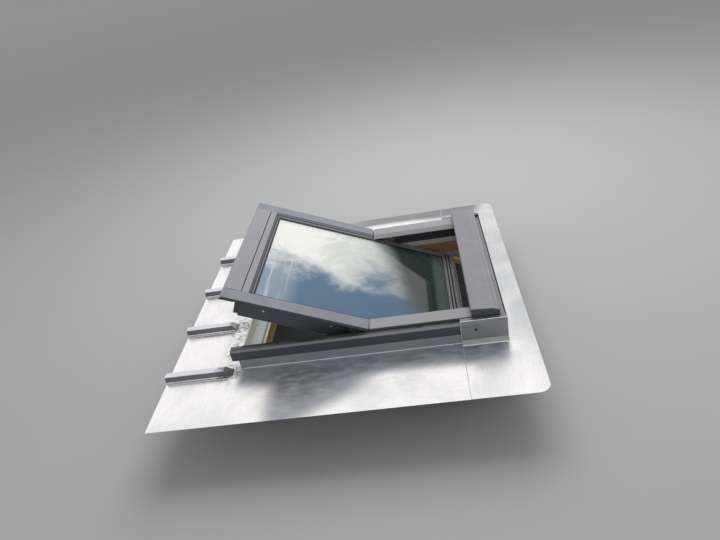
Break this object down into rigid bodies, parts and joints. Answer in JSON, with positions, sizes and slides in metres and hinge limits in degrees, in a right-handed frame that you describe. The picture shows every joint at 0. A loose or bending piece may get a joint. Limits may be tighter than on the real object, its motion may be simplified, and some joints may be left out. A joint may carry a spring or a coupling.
{
  "type": "roof window",
  "caption": "Centre-pivot pine roof window with grey folded cladding and a zinc flashing collar, sash swung open.",
  "frame": {"origin": "on the roof covering, straight below the middle of the pivot axis", "axes": "+X across the slope to the side with the barrel bolt, +Y up the slope to the hood, +Z out of the roof"},
  "size_m": [1.372, 1.362, 0.5213],
  "materials": {
    "pine": "satin",
    "cladding": "satin",
    "zinc": "satin",
    "glass": "gloss",
    "rubber": "matte",
    "spacer": "satin",
    "filter_foam": "matte",
    "plated_steel": "satin",
    "bush_plastic": "matte",
    "bar_aluminium": "satin"
  },
  "bodies": {
    "frame": {"frame_left": "pine", "frame_right": "pine", "frame_sill": "pine", "frame_head": "pine", "side_cover_left": "cladding", "side_cover_right": "cladding", "frame_cover_left": "cladding", "frame_cover_right": "cladding", "sill_cover": "cladding", "head_hood": "cladding", "side_seal_left": "rubber", "side_seal_right": "rubber", "head_seal": "rubber", "sill_seal": "rubber", "head_tape": "rubber", "frame_track_left": "plated_steel", "frame_track_right": "plated_steel", "lock_strike": "plated_steel", "bolt_bushes": "bush_plastic", "bracket_sill_left": "plated_steel", "bracket_sill_right": "plated_steel", "bracket_head_left": "plated_steel", "bracket_head_right": "plated_steel", "flashing_apron": "zinc", "flashing_left": "zinc", "flashing_right": "zinc", "flashing_head": "zinc", "rib_cover_1": "zinc", "rib_cover_2": "zinc", "rib_cover_3": "zinc", "rib_cover_4": "zinc"},
    "sash": {"sash_stile_left": "pine", "sash_stile_right": "pine", "sash_bottom_rail": "pine", "sash_top_rail": "pine", "sash_vent_rail": "pine", "sash_cover_left": "cladding", "sash_cover_right": "cladding", "sash_bottom_bead": "cladding", "sash_bottom_cover": "cladding", "sash_trim_left": "cladding", "sash_trim_right": "cladding", "sash_top_cover": "cladding", "outer_pane": "glass", "inner_pane": "glass", "glazing_gasket": "rubber", "glass_spacer": "spacer", "vent_filter": "filter_foam", "sash_track_left": "plated_steel", "sash_track_right": "plated_steel", "lock_case": "plated_steel", "flap_brackets": "plated_steel", "bolt_case": "plated_steel", "cover_screws": "plated_steel"},
    "hinge_slider_left": {"hinge_slider_left": "plated_steel"},
    "hinge_slider_right": {"hinge_slider_right": "plated_steel"},
    "vent_flap": {"vent_flap": "pine", "control_bar": "bar_aluminium"},
    "lock_latch": {"lock_latch": "plated_steel"},
    "barrel_bolt": {"barrel_bolt": "plated_steel"}
  },
  "joints": [
    {"name": "sash_pivot", "type": "hinge", "parent": "frame", "child": "sash", "pos_m": [0, 0, 0.1], "axis": [-1, 0, 0], "range_deg": [-24, 136]},
    {"name": "slider_left", "type": "hinge", "parent": "frame", "child": "hinge_slider_left", "pos_m": [0, 0, 0.1], "axis": [-1, 0, 0], "range_deg": [-12, 68]},
    {"name": "slider_right", "type": "hinge", "parent": "frame", "child": "hinge_slider_right", "pos_m": [0, 0, 0.1], "axis": [-1, 0, 0], "range_deg": [-12, 68]},
    {"name": "flap_hinge", "type": "hinge", "parent": "sash", "child": "vent_flap", "pos_m": [0, 0.3418, -0.16492], "axis": [1, 0, 0], "range_deg": [-35, 0]},
    {"name": "latch_slide", "type": "slide", "parent": "sash", "child": "lock_latch", "axis": [0, 0.9135, -0.4067], "range_m": [0, 0.0106]},
    {"name": "bolt_slide", "type": "slide", "parent": "sash", "child": "barrel_bolt", "axis": [1, 0, 0], "range_m": [0, 0.018]}
  ],
  "couplings": [
    {"joint": "slider_left", "follows": "sash_pivot", "ratio": 0.5},
    {"joint": "slider_right", "follows": "sash_pivot", "ratio": 0.5},
    {"joint": "latch_slide", "follows": "flap_hinge", "m_per_rad": -0.017188}
  ]
}
